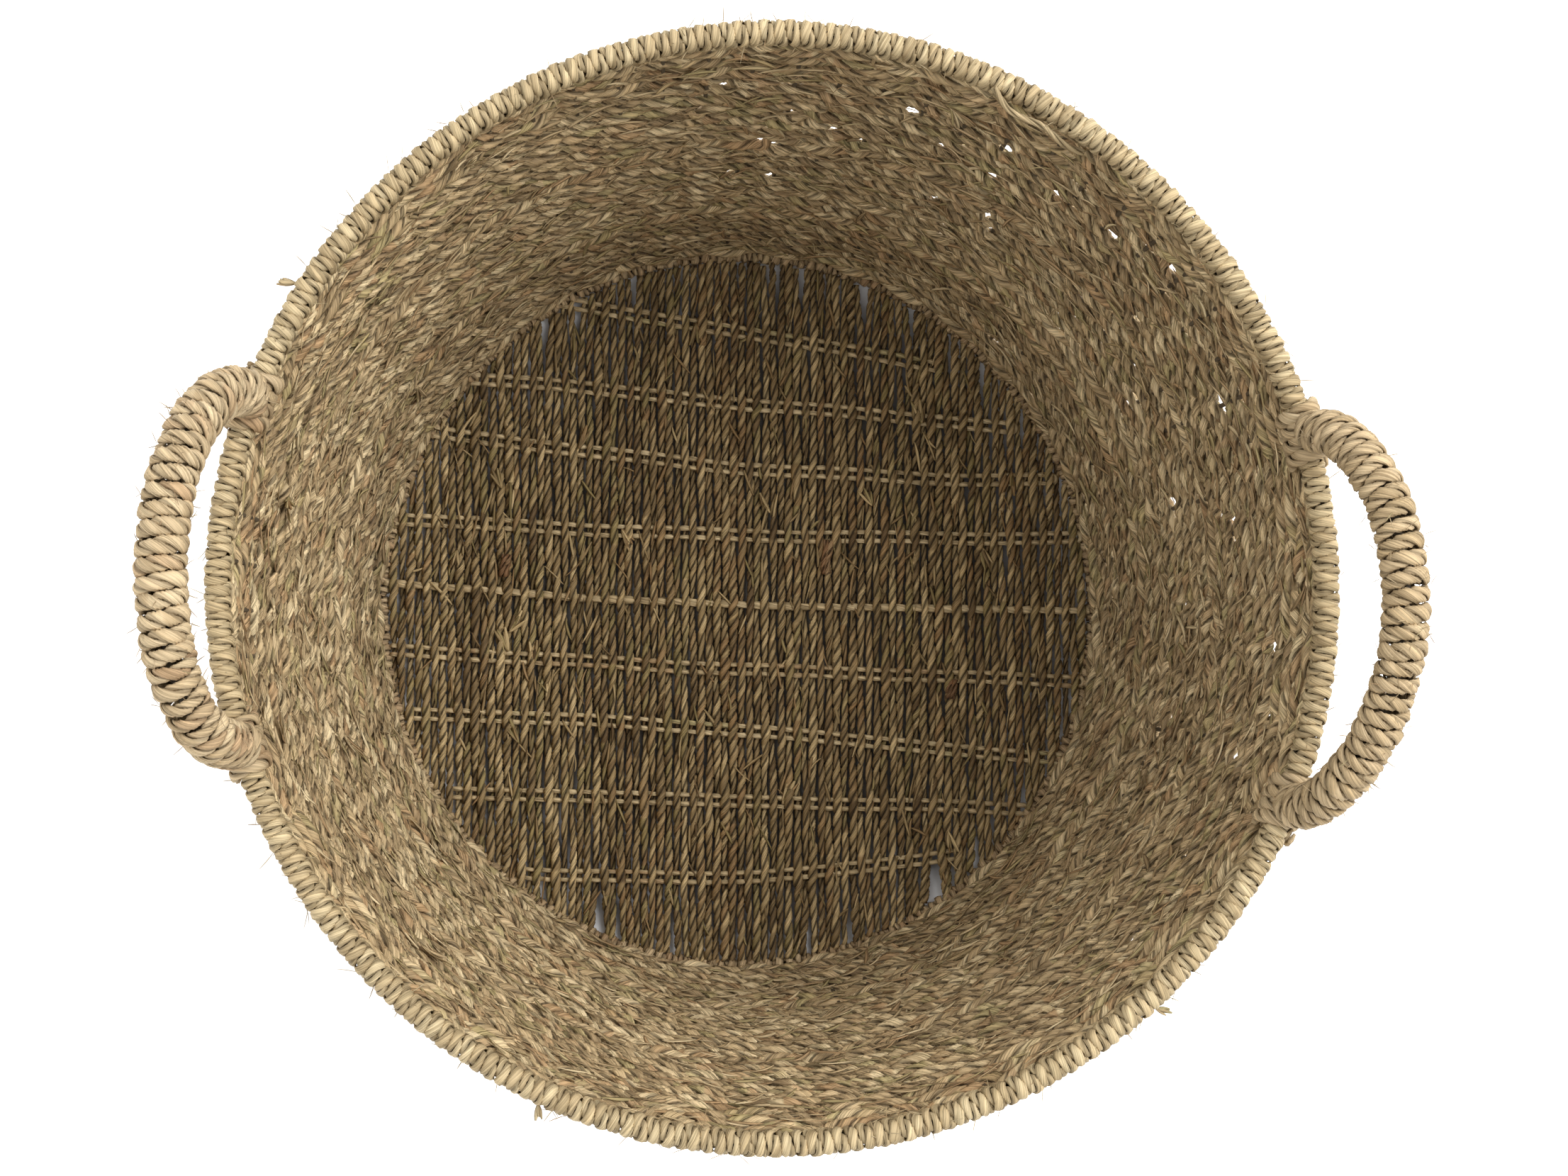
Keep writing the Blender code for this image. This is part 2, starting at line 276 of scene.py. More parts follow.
def seagrass(name, dark, middle, light, red, green, groove_shade=0.55, crevice_shade=0.55,
             roughness=(0.55, 0.85), depth=0.35 * MM):
    """A finish for twisted seagrass: three tones of blade, a share of red and of green ones, and grooves
    whose dark bottoms are painted shade."""
    material = bpy.data.materials.new(name)
    material.use_nodes = True
    nodes, links = material.node_tree.nodes, material.node_tree.links
    shader = nodes["Principled BSDF"]
    look = nodes.new("ShaderNodeAttribute")
    look.attribute_name = "look"
    parts = nodes.new("ShaderNodeSeparateXYZ")
    links.new(look.outputs["Vector"], parts.inputs[0])
    fibre = nodes.new("ShaderNodeAttribute")
    fibre.attribute_name = "fibre"

    def streaks(around, along, detail):
        stretch = nodes.new("ShaderNodeMapping")
        stretch.inputs["Scale"].default_value = (around, around, along)
        links.new(fibre.outputs["Vector"], stretch.inputs["Vector"])
        noise = nodes.new("ShaderNodeTexNoise")
        noise.inputs["Scale"].default_value = 1.0
        noise.inputs["Detail"].default_value = detail
        links.new(stretch.outputs["Vector"], noise.inputs["Vector"])
        return noise.outputs["Fac"]

    fine, broad = streaks(4.0, 0.9, 4.0), streaks(2.0, 0.4, 3.0)

    def mix(kind, factor, first, second):
        node = nodes.new("ShaderNodeMix")
        node.data_type = "RGBA"
        node.blend_type = kind
        for socket, value in (("Factor", factor), ("A", first), ("B", second)):
            named = [s for s in node.inputs if s.name == socket]
            target = named[0] if socket == "Factor" else next(s for s in named if s.type == "RGBA")
            if isinstance(value, bpy.types.NodeSocket):
                links.new(value, target)
            else:
                target.default_value = value
        return [s for s in node.outputs if s.type == "RGBA"][0]

    def chosen(value, share, strength):
        """How strongly a blade takes a tint: not at all for most, and up to strength for the share of them
        with the highest values."""
        node = nodes.new("ShaderNodeMapRange")
        node.inputs["From Min"].default_value = 1 - share
        node.inputs["From Max"].default_value = min(1.0, 1 - share * 0.5)
        node.inputs["To Max"].default_value = strength
        links.new(value, node.inputs["Value"])
        return node.outputs["Result"]

    tones = ramp(nodes, [(0.0, dark), (0.5, middle), (1.0, light)])
    links.new(parts.outputs["X"], tones.inputs["Fac"])
    reddish = tuple(m * k for m, k in zip(middle, (0.86, 0.74, 0.68)))
    greenish = tuple(m * k for m, k in zip(middle, (0.84, 0.93, 0.80)))
    colour = mix("MIX", chosen(parts.outputs["Y"], red, 0.8), tones.outputs["Color"], (*reddish, 1))
    colour = mix("MIX", chosen(parts.outputs["Z"], green, 0.8), colour, (*greenish, 1))
    blotch = ramp(nodes, [(0.32, (0.62, 0.59, 0.54)), (0.52, (1.0, 1.0, 1.0)), (0.70, (1.18, 1.16, 1.12))])
    links.new(broad, blotch.inputs["Fac"])
    colour = mix("MULTIPLY", 1.0, colour, blotch.outputs["Color"])
    # Painted shade at the bottom of the grooves: the low end of the fine noise, which is also low in the
    # bump, darkens the colour. Its high end is lighter fibre.
    floor = (1 - groove_shade, 1 - groove_shade, 1 - groove_shade * 1.08)
    fibre_streaks_and_groove_shade = ramp(nodes, [(0.34, floor), (0.50, (0.93, 0.92, 0.90)), (0.68, (1.16, 1.15, 1.12))])
    links.new(fine, fibre_streaks_and_groove_shade.inputs["Fac"])
    colour = mix("MULTIPLY", 1.0, colour, fibre_streaks_and_groove_shade.outputs["Color"])
    inner = nodes.new("ShaderNodeSeparateXYZ")
    links.new(fibre.outputs["Vector"], inner.inputs[0])
    crevice = nodes.new("ShaderNodeMapRange")
    crevice.inputs["From Min"].default_value, crevice.inputs["From Max"].default_value = -0.5, 0.25
    crevice.inputs["To Min"].default_value = crevice_shade
    links.new(inner.outputs["X"], crevice.inputs["Value"])
    colour = mix("MULTIPLY", 1.0, colour, crevice.outputs["Result"])
    links.new(colour, shader.inputs["Base Color"])
    gloss = nodes.new("ShaderNodeMapRange")
    gloss.inputs["From Min"].default_value, gloss.inputs["From Max"].default_value = 0.35, 0.65
    gloss.inputs["To Min"].default_value, gloss.inputs["To Max"].default_value = roughness[1], roughness[0]
    links.new(fine, gloss.inputs["Value"])
    links.new(gloss.outputs["Result"], shader.inputs["Roughness"])
    shader.inputs["Specular IOR Level"].default_value = 0.35
    bump = nodes.new("ShaderNodeBump")
    bump.inputs["Strength"].default_value = 0.8
    bump.inputs["Distance"].default_value = depth
    links.new(fine, bump.inputs["Height"])
    links.new(bump.outputs["Normal"], shader.inputs["Normal"])
    return material


wall_grass = seagrass("wall_seagrass", (0.31, 0.215, 0.115), (0.585, 0.435, 0.245), (0.86, 0.70, 0.44),
                      red=0.31, green=0.26, groove_shade=0.65, crevice_shade=0.36)
base_grass = seagrass("base_seagrass", (0.14, 0.085, 0.036), (0.41, 0.29, 0.14), (0.74, 0.56, 0.30),
                      red=0.34, green=0.28, groove_shade=0.5, crevice_shade=0.25)
bar_grass = seagrass("bar_seagrass", (0.44, 0.33, 0.18), (0.62, 0.48, 0.28), (0.78, 0.63, 0.39),
                     red=0.15, green=0.15, groove_shade=0.4, crevice_shade=0.8)
foot_grass = seagrass("foot_seagrass", (0.36, 0.25, 0.14), (0.56, 0.41, 0.24), (0.76, 0.60, 0.38),
                      red=0.40, green=0.15, groove_shade=0.5, crevice_shade=0.65)
knot_grass = seagrass("knot_seagrass", (0.16, 0.085, 0.04), (0.33, 0.20, 0.10), (0.52, 0.35, 0.19),
                      red=0.5, green=0.1)
rim_grass = seagrass("rim_seagrass", (0.46, 0.35, 0.20), (0.60, 0.475, 0.285), (0.72, 0.60, 0.385),
                     red=0.15, green=0.14, groove_shade=0.4, crevice_shade=0.7)
handle_grass = seagrass("handle_seagrass", (0.47, 0.35, 0.20), (0.575, 0.44, 0.27), (0.69, 0.55, 0.355),
                        red=0.14, green=0.04, groove_shade=0.35, crevice_shade=0.72)

# %% [markdown]
# ## The base
# The base is a mat of cords laid side by side, each woven over one bar and under the next. Its neighbours
# take the opposite way, so the mat holds together. A cord rises and falls on a cosine that has its turns at
# the bars, and a slow random wander keeps the cords from looking ruled. Near the edge some neighbours part
# and leave a gap: ten of these have a set place between two cords, and the others a random one.

# %% Base cords
CORDS = 87
CORD_PITCH = 4.02 * MM
BARS = [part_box(f"base_bar_{number}") for number in range(1, 10)]
BAR_TILTS = np.array([0.037, -0.03, -0.074, -0.044, -0.036, -0.025, -0.074, -0.085, -0.16])
BAR_BOWS = np.array([0.6, 0.0, -0.12, 0.05, 0.1, 0.1, 0.25, 0.0, 0.0])
BAR_PLACES = np.array([(low.y + high.y) / 2 for low, high in BARS]) * (1 + BAR_TILTS ** 2)
EDGE = FOOT_RADIUS - 2.2 * MM
PAST_THE_BARS = 35 * MM             # from the first and the last bar to the next turn of a cord's cosine
PARTED = ((1, (18.5, 22.5, 58.5, 64.5)), (-1, (18.5, 25.5, 51.5, 56.5, 67.5, 72.5)))


def bar_height(number, x):
    """How far up the mat a bar is at x. The bars were laid by hand, a little askew and bowed."""
    return BAR_PLACES[number] + BAR_TILTS[number] * x + BAR_BOWS[number] * x * x


def over_or_under(cord_number, x, y):
    """+1 where this cord passes over a bar, -1 where it passes under one, and between them in between."""
    places = np.array([bar_height(number, x) for number in range(len(BARS))])
    places = np.concatenate([[places[0] - PAST_THE_BARS], places, [places[-1] + PAST_THE_BARS]])
    return np.cos(math.pi * (np.interp(y, places, np.arange(-1, len(BARS) + 1)) + cord_number))


partings = [(place, end, rng.uniform(1.2, 2.2) * MM) for end, places in PARTED for place in places]
partings += [(rng.integers(8, 79) + 0.5, end, rng.uniform(0.6, 1.6) * MM)
             for end in (-1, 1) for _ in range(7)]
base_strands = []
for number in range(CORDS):
    x = (number - CORDS // 2) * CORD_PITCH
    half = math.sqrt(EDGE ** 2 - x * x)
    y = np.arange(-half + rng.uniform(0, 2.5) * MM, half - rng.uniform(0, 2.5) * MM, 1.5 * MM)
    wander = 0.5 * MM * waver(2 * half, 0.035)(y + half) + 0.35 * MM * waver(2 * half, 0.012)(y + half)
    near_end = np.clip((np.abs(y) - half + 0.020) / 0.020, 0, 1) ** 2
    for place, end, push in partings:
        nearness = math.copysign(math.exp(-(abs(number - place) - 0.5) / 1.3), number - place)
        wander = wander + push * nearness * np.clip((end * y - half + 0.030) / 0.030, 0, 1)
    over = over_or_under(number, x, y) * (1 - near_end)
    z = MAT_MIDDLE + 1.2 * MM + 2.3 * MM * over
    path = np.stack([x + wander, y, z], -1)
    up = np.tile([0.0, 0.0, 1.0], (len(y), 1))
    thickness = 5.0 * MM * rng.uniform(0.88, 1.12)
    lay = rng.uniform(13.0, 16.0) * MM
    twisted = cord(path, up, thickness, lay, sides=6, squash=(0.95, 1.0), swell=0.12, blade=0.016,
                   fullness=1.2, grow=1 + 0.18 * over, sunk=0.64, uneven_twist=1.5)
    base_strands.append(twisted)
third = CORDS // 3
for part in range(3):
    chosen = [strand for pair in base_strands[part * third:(part + 1) * third] for strand in pair]
    piece(f"base_cords_{part + 1}", chosen, base_grass, "base_cord", "base_mat")

# %% [markdown]
# The bars are strands that run across the cords. Eight of them are thin and doubled: one strand goes
# across, turns round at the edge and comes back beside itself. The middle one is a single thick strand.

# %% Base bars
MIDDLE_BAR = 4


def bar_wave(x, number):
    """The bar dips under the cords that pass over it."""
    return -1.1 * MM * np.cos(math.pi * (x / CORD_PITCH + CORDS // 2 + number))


bar_strands = []
for number in range(len(BARS)):
    half = math.sqrt(EDGE ** 2 - (abs(BAR_PLACES[number]) + 5 * MM) ** 2)
    doubled = number != MIDDLE_BAR
    apart = 2.2 * MM if doubled else 0.0
    x = np.arange(-half, half - apart, 1.3 * MM)
    line = np.stack([x, np.full(len(x), apart)], -1)
    if doubled:
        bend = np.linspace(math.pi / 2, -math.pi / 2, 7)[1:-1]
        bent = np.stack([x[-1] + apart * np.cos(bend), apart * np.sin(bend)], -1)
        back = np.stack([x[::-1], np.full(len(x), -apart)], -1)
        line = np.concatenate([line, bent, back])
    sway = 0.8 * MM * waver(2 * half, 0.05)(line[:, 0] + half)
    z = MAT_MIDDLE + 1.5 * MM + bar_wave(line[:, 0], number)
    path = np.stack([line[:, 0], line[:, 1] + bar_height(number, line[:, 0]) + sway, z], -1)
    up = np.tile([0.0, 0.0, 1.0], (len(path), 1))
    thickness = 3.2 * MM if doubled else 5.2 * MM
    bar_strands += cord(path, up, thickness, lay=40 * MM, sides=6, squash=(0.85, 1.0), swell=0.06,
                        blade=0.03, sunk=0.4)
bar_nodes = [f"base_bar_{number}" for number in range(1, 10)]
piece("base_bars", bar_strands, bar_grass, "bar_strand", *bar_nodes)

# %% [markdown]
# ## Windings
# The foot ring, the rim, the handles and their lashings are all wound: a cord goes round and round a line.
# A Screw modifier makes an even coil, but a hand-wound one is closer in one place and looser in the next,
# so the coil is a helix in code whose pace and distance both wander.

# %% A winding round a line
def coil(line, length, turns, half_out, half_across, closed=False, power=2.4, step=1.35 * MM,
         rough=0.2 * MM):
    """Points that wind round a line, and the way out from it. The section is a rounded box, or an ellipse
    where power is 2."""
    around = 3.6 * (half_out + half_across)
    count = int(turns * around / step)
    share = np.arange(count) / count if closed else np.linspace(0, 1, count)
    even = np.linspace(0, 1, 2000)
    gone = distance_along(line(even)[0])
    middle, outward = line(np.interp(share * gone[-1], gone, even))
    along, out, across = directions(middle, outward, closed)
    pace = 0.5 * waver(length, 0.02, closed)(share * length)
    turn = 2 * math.pi * turns * share + pace
    c, s = np.cos(turn), np.sin(turn)
    ease = 2 / power
    swell = rough * waver(length * turns, 0.05, closed)(share * length * turns)
    x = half_out * np.sign(c) * np.abs(c) ** ease
    y = half_across * np.sign(s) * np.abs(s) ** ease
    way_x = np.sign(c) * np.abs(c) ** (2 - ease) / half_out
    way_y = np.sign(s) * np.abs(s) ** (2 - ease) / half_across
    away = unit(way_x[:, None] * out + way_y[:, None] * across)
    return middle + x[:, None] * out + y[:, None] * across + swell[:, None] * away, away


def circle(radius, height, wander=0.0):
    """A level ring to wind round, and its length. It may wander a little off true."""
    length = 2 * math.pi * radius
    sideways, upward = waver(length, 0.11, True), waver(length, 0.13, True)

    def line(share):
        angle = 2 * math.pi * share
        outward = np.stack([np.cos(angle), np.sin(angle), np.zeros_like(angle)], -1)
        middle = outward * (radius + wander * sideways(share * length))[:, None]
        middle[:, 2] = height + wander * upward(share * length)
        return middle, outward

    return line, length

# %% The foot ring's winding
line, length = circle(FOOT_RADIUS, MAT_MIDDLE + 0.6 * MM, 0.3 * MM)
path, away = coil(line, length, turns=190, half_out=3.5 * MM, half_across=2.4 * MM, closed=True,
                  rough=0.4 * MM)
foot = cord(path, away, thickness=6.0 * MM, lay=18 * MM, closed=True, squash=(0.5, 1.0), blade=0.03)
piece("foot_winding", foot, foot_grass, "foot_binding", "base_ring_wrap")

# %% [markdown]
# ## The wall
# The wall is woven in rows: each cord goes outside one upright and inside the next, and the row above it does
# the opposite. The rows share a slow rise and fall, as hand-woven rows do, and part in sixty small places
# on one side, where light comes through. Most cords are twisted one way, and about one in seven the other.

# %% Wall rows
ROWS = 54
ROW_PITCH = (WALL_TOP - WALL_FOOT) / ROWS
ROWS_IN_A_PIECE = 9
FLARE = 1.3                         # slope at the foot over the mean slope
DRIFT_RADIUS = 0.2                  # of the circle that the rows' shared waves run round
GAP_WIDTH = 0.015                   # as an angle
GAPS = [(rng.uniform(-0.35, 1.75), rng.uniform(20, 46), rng.uniform(0.45, 0.88)) for _ in range(60)]


def wall_radius(z):
    share = (z - WALL_FOOT) / (WALL_TOP - WALL_FOOT)
    return FOOT_RADIUS + (RIM_RADIUS - FOOT_RADIUS) * (FLARE * share + (1 - FLARE) * share * share)


drift = [waver(2 * math.pi * DRIFT_RADIUS, 0.16, True) for _ in range(4)]
bulge = [waver(2 * math.pi * DRIFT_RADIUS, 0.12, True) for _ in range(4)]
wall_strands = []
for row in range(ROWS):
    height = WALL_FOOT + (row + 0.5) * ROW_PITCH
    radius = wall_radius(height)
    length = 2 * math.pi * radius
    count = round(length / (1.6 * MM))
    angle = np.arange(count) / count * 2 * math.pi
    run = angle * DRIFT_RADIUS
    weights = [math.cos(row * 0.13), math.sin(row * 0.13), math.cos(row * 0.31), math.sin(row * 0.31)]
    rise = sum(weight * wave(run) for weight, wave in zip(weights, drift)) * 0.9 * MM
    rise = rise * min(1.0, (ROWS - 1 - row) / 4, row / 4)
    own = 0.4 * MM * waver(length, 0.03, True)(angle * radius)
    apart = np.zeros_like(angle)
    for place, level, size in GAPS:
        away_from = (angle - place + math.pi) % (2 * math.pi) - math.pi
        above = row + 0.5 - level
        fades = math.copysign(math.exp(-abs(above) / 2.5), above)
        apart += size * np.exp(-(away_from / GAP_WIDTH) ** 2) * fades
    weave = (1 if row % 2 else -1) * np.cos(UPRIGHTS / 2 * angle - math.pi / 2)
    swelling = sum(weight * wave(run) for weight, wave in zip(weights, bulge)) * 1.0 * MM
    out = radius + 1.3 * MM * weave + swelling + 2.6 * MM * apart
    out = out + 0.5 * MM * waver(length, 0.02, True)(angle * radius)
    z = height + rise + own + 2.0 * MM * apart
    path = np.stack([out * np.cos(angle), out * np.sin(angle), z], -1)
    outward = np.stack([np.cos(angle), np.sin(angle), np.zeros_like(angle)], -1)
    last = row >= ROWS - 2
    thickness = (6.9 if last else 6.4 * rng.uniform(0.92, 1.08)) * MM
    lay = (24 if last else rng.uniform(15, 20)) * MM * (1 if rng.uniform() < 0.85 else -1)
    twisted = cord(path, outward, thickness, lay, closed=True, squash=(0.95, 1.0), swell=0.17, blade=0.013,
                   fullness=1.5, sunk=0.62, uneven_twist=1.7)
    wall_strands.append(twisted)
for part in range(ROWS // ROWS_IN_A_PIECE):
    rows = wall_strands[part * ROWS_IN_A_PIECE:(part + 1) * ROWS_IN_A_PIECE]
    chosen = [strand for pair in rows for strand in pair]
    piece(f"wall_rows_{part + 1}", chosen, wall_grass, "wall_cord", "wall_weave")

# %% [markdown]
# ## The rim
# The rim is bound with one long pale cord, wound flat round the hoop and the top of the wall. Its two plies
# are two pieces here.

# %% Rim winding
line, length = circle(RIM_RADIUS, RIM_MIDDLE, 0.6 * MM)
path, away = coil(line, length, turns=262, half_out=3.7 * MM, half_across=5.7 * MM, closed=True)
rim = cord(path, away, thickness=5.9 * MM, lay=24 * MM, closed=True, squash=(0.5, 1.0), blade=0.03)
for part, strand in enumerate(rim):
    piece(f"rim_winding_{part + 1}", [strand], rim_grass, "rim_binding", "rim_wrap")

# %% [markdown]
# ## The handles
# A handle is a bent wire bound in a thicker cord, and its feet are lashed to the rim with a cord like it.
# The two are not alike: each has its own turn off the X axis, length, rise and squareness, where 2 is an
# ellipse and more is a squarer arch.

# %% Handle windings
HANDLES = {
    "right": {"turn": math.radians(-3.8), "half_arc": 74.0 * MM, "rise": 53.5 * MM, "squareness": 2.0},
    "left": {"turn": math.radians(178.8), "half_arc": 66.8 * MM, "rise": 54.5 * MM, "squareness": 2.45},
}
HANDLE_LEAN = math.tan(math.radians(10.9))
HANDLE_FOOT = RIM_TOP + 3.6 * MM
HANDLE_RUN = 0.205                  # about how long a handle's middle line is


def handle_line(turn, half_arc, rise, squareness):
    """A handle's middle line, foot to foot: an arch that follows the rim and leans out."""
    def line(share):
        c, s = np.cos(math.pi * share), np.sin(math.pi * share)
        along = half_arc * np.sign(c) * np.abs(c) ** (2 / squareness)
        up = rise * np.maximum(s, 0) ** (2 / squareness)
        angle = turn + along / RIM_RADIUS
        radius = RIM_RADIUS + up * HANDLE_LEAN
        middle = np.stack([radius * np.cos(angle), radius * np.sin(angle), HANDLE_FOOT + up], -1)
        outward = np.stack([np.cos(angle), np.sin(angle), np.full_like(angle, -HANDLE_LEAN)], -1)
        return middle, outward

    return line


def lashing_line(angle):
    """The short stretch of the rim that a lashing is wound round."""
    half = 11.0 * MM / RIM_RADIUS

    def line(share):
        place = angle + half * (2 * share - 1)
        outward = np.stack([np.cos(place), np.sin(place), np.zeros_like(place)], -1)
        middle = outward * RIM_RADIUS
        middle[:, 2] = RIM_TOP - 9.5 * MM
        return middle, outward

    return line


for side, shape in HANDLES.items():
    winding_radius = (7.8 if side == "left" else 7.3) * MM
    path, away = coil(handle_line(**shape), HANDLE_RUN, 33, winding_radius, winding_radius, power=2.0)
    wound = cord(path, away, thickness=7.0 * MM, lay=16.5 * MM, sides=6, squash=(0.55, 1.0), swell=0.16,
                 blade=0.02, sunk=0.85, uneven_twist=1.4)
    piece(f"handle_winding_{side}", wound, handle_grass, "handle_binding", f"handle_wrap_{side}")
    lashed = []
    reach = shape["half_arc"] / RIM_RADIUS
    for foot_angle in (shape["turn"] - reach, shape["turn"] + reach):
        path, away = coil(lashing_line(foot_angle), 0.024, turns=4, half_out=6.6 * MM,
                          half_across=10.8 * MM)
        lashed += cord(path, away, thickness=6.6 * MM, lay=24 * MM, sides=6, squash=(0.6, 1.0), blade=0.06)
    nodes = [f"handle_lashing_{side}_{number}" for number in (1, 2)]
    piece(f"handle_lashings_{side}", lashed, handle_grass, "handle_binding", *nodes)

# %% [markdown]
# ## Loose blades and frayed ends
# Seagrass sheds: short blades lie along the rows, cord ends fray into small fans where a new cord was laid
# in, and fine fibres stand off the windings. A hair system could scatter them, but each must become part of
# the mesh in the end, so they are laid one by one here, each a strip of 26 faces.

# %% Blades on the wall
def on_wall(angle, height, side, depth):
    """A point on the wall, its directions round and up the wall, and the way off it. side is -1 inside and
    1 outside."""
    radial = np.array([math.cos(angle), math.sin(angle), 0.0])
    around = np.array([-math.sin(angle), math.cos(angle), 0.0])
    slope = (wall_radius(height + MM) - wall_radius(height)) / MM
    upward = unit(np.array([slope * radial[0], slope * radial[1], 1.0]))
    point = radial * (wall_radius(height) + side * depth)
    point[2] = height
    return point, around, upward, side * unit(np.cross(around, upward))


def wall_blades(side, count):
    laid = []
    for _ in range(count):
        angle, height = rng.uniform(0, 2 * math.pi), rng.uniform(WALL_FOOT + 8 * MM, WALL_TOP - 6 * MM)
        point, around, upward, off = on_wall(angle, height, side, rng.uniform(2.2, 3.8) * MM)
        lean = rng.normal(0, 0.45)
        way = rng.choice([-1, 1]) * (around * math.cos(lean) + upward * math.sin(lean))
        length, width = rng.uniform(6, 16) * MM, rng.uniform(0.9, 2.6) * MM
        lift, curl = rng.uniform(0.1, 2.4) * MM, rng.normal(0, 2.0) * MM
        laid.append(loose_blade(point, way, off, length, width, lift, curl))
    return laid


PLACED_TUFTS = ((2.95, 0.205, 0.9), (3.93, 0.215, 0.5), (3.45, 0.13, -0.4), (5.9, 0.17, 0.6))
inside = wall_blades(-1, 3300)
for _ in range(22):
    point, around, upward, off = on_wall(rng.uniform(0, 2 * math.pi), rng.uniform(0.03, 0.26), -1, 3.2 * MM)
    lean = rng.uniform(-1.0, 1.0)
    way = rng.choice([-1, 1]) * (around * math.cos(lean) + upward * math.sin(lean))
    inside += tuft(point, way, off, count=6, length=13 * MM, width=2.0 * MM, spread=0.5, lift=4 * MM)
for angle, height, lean in PLACED_TUFTS:
    point, around, upward, off = on_wall(angle, height, -1, 3.6 * MM)
    way = around * math.cos(lean) + upward * math.sin(lean)
    inside += tuft(point, way, off, count=9, length=16 * MM, width=2.6 * MM, spread=0.6, lift=6 * MM)
piece("wall_blades_inside", inside, wall_grass, "wall_cord")
piece("wall_blades_outside", wall_blades(1, 1100), wall_grass, "wall_cord")

# %% Blades on the base
FRAYED = ((137, 70), (-116, -12), (-142, 29), (-111, -67), (-104, -28), (-120, 60), (-60, 40))
up = np.array([0.0, 0.0, 1.0])
fallen = []
for _ in range(420):
    radius, angle = 0.168 * math.sqrt(rng.uniform()), rng.uniform(0, 2 * math.pi)
    height = MAT_TOP + rng.uniform(-1.2, 0.3) * MM
    point = np.array([radius * math.cos(angle), radius * math.sin(angle), height])
    lean = rng.normal(0, 0.35)
    way = rng.choice([-1, 1]) * np.array([math.sin(lean), math.cos(lean), 0.0])
    length, width = rng.uniform(6, 16) * MM, rng.uniform(0.7, 1.8) * MM
    lift, curl = rng.uniform(0.1, 2.0) * MM, rng.normal(0, 1.2) * MM
    fallen.append(loose_blade(point, way, up, length, width, lift, curl))
frayed = [(x * MM, y * MM) for x, y in FRAYED]
for _ in range(9):
    radius, angle = 0.16 * math.sqrt(rng.uniform()), rng.uniform(0, 2 * math.pi)
    frayed.append((radius * math.cos(angle), radius * math.sin(angle)))
for x, y in frayed:
    lean = rng.uniform(-0.7, 0.7)
    point = np.array([x, y, MAT_TOP])
    way = rng.choice([-1, 1]) * np.array([math.sin(lean), math.cos(lean), 0.0])
    fallen += tuft(point, way, up, count=5, length=11 * MM, width=2.2 * MM, spread=0.4, lift=2.5 * MM)
piece("base_blades", fallen, base_grass, "base_cord")

# %% [markdown]
# In three places a cord was joined, and two short dark ends lie side by side on the mat. Each is given by
# its place and its half length, in millimetres.

# %% Knots on the base
KNOTS = ((43, 27, 9), (106, -40, 5), (-118, 22, 6))
knots = []
for x, y, half in KNOTS:
    for aside in (-1.0, 0.9):
        along = np.arange(-half, half, 1.2) * MM
        sway = 0.8 * MM * np.sin(along * 300)
        z = MAT_TOP + 0.8 * MM - 0.02 * along ** 2 / MM
        path = np.stack([(x + aside) * MM + sway, y * MM + along, z], -1)
        knots += cord(path, np.tile(up, (len(path), 1)), thickness=3.6 * MM, lay=13 * MM)
piece("base_knots", knots, knot_grass, "base_cord")

# %% [markdown]
# Fine fibres stand off the rim and the handles in all directions, three tufts stick out of the rim, and one
# end of the rim's cord has come loose and hangs along the inside.

# %% Fibres on the rim and the handles, and the rim's loose strand
def fuzz(line, count, reach, longest):
    """Fibres that stand off a line at reach. The longest is given in millimetres."""
    laid = []
    middle, outward = line(rng.uniform(0, 1, count))
    for point, radial in zip(middle, outward):
        turn = rng.uniform(0, 2 * math.pi)
        off = unit(radial * math.cos(turn) + np.array([0, 0, 1.0]) * math.sin(turn))
        way = unit(np.cross(off, rng.normal(0, 1, 3)) + off * rng.uniform(0, 0.8))
        length = rng.uniform(3, longest) * MM
        lift = rng.uniform(0, 2) * MM
        laid.append(loose_blade(point + off * reach, way, off, length, 0.35 * MM, lift, flatness=1.5))
    return laid


RIM_TUFTS = (2.592, 4.273, 5.435)   # the angle of each
rim_line = circle(RIM_RADIUS, RIM_MIDDLE)[0]
rim_fuzz = fuzz(rim_line, count=420, reach=4.6 * MM, longest=8)
for angle in RIM_TUFTS:
    point, around, upward, off = on_wall(angle, RIM_TOP - 7 * MM, 1, 4.0 * MM)
    way = unit(off + 0.6 * around)
    rim_fuzz += tuft(point, way, upward, count=5, length=6 * MM, width=1.8 * MM, spread=0.35, lift=2 * MM)
piece("rim_fibres", rim_fuzz, rim_grass, "rim_binding")
for side, shape in HANDLES.items():
    fibres = fuzz(handle_line(**shape), count=150, reach=9.0 * MM, longest=6)
    piece(f"handle_fibres_{side}", fibres, handle_grass, "handle_binding")

share = np.linspace(0, 1, 46)
angle = math.radians(67) - 0.21 * share
inset = (4.0 + 5.0 * np.sin(math.pi * share) + 1.2 * np.sin(9 * share)) * MM
height = RIM_TOP - (1.5 + 13.0 * share + 2.4 * np.sin(7.5 * share)) * MM
path = np.stack([(RIM_RADIUS - inset) * np.cos(angle), (RIM_RADIUS - inset) * np.sin(angle), height], -1)
outward = np.stack([-np.cos(angle), -np.sin(angle), np.full(len(share), 0.8)], -1)
strand = cord(path, outward, thickness=3.4 * MM, lay=26 * MM, squash=(0.6, 1.0))
piece("rim_loose_strand", strand, rim_grass, "rim_binding")

# %% [markdown]
# ## The wire frame
# The uprights, the two rings and the handle cores stay as the CAD has them. They are coated wire, dark and
# slightly uneven, and show only where two rows part.

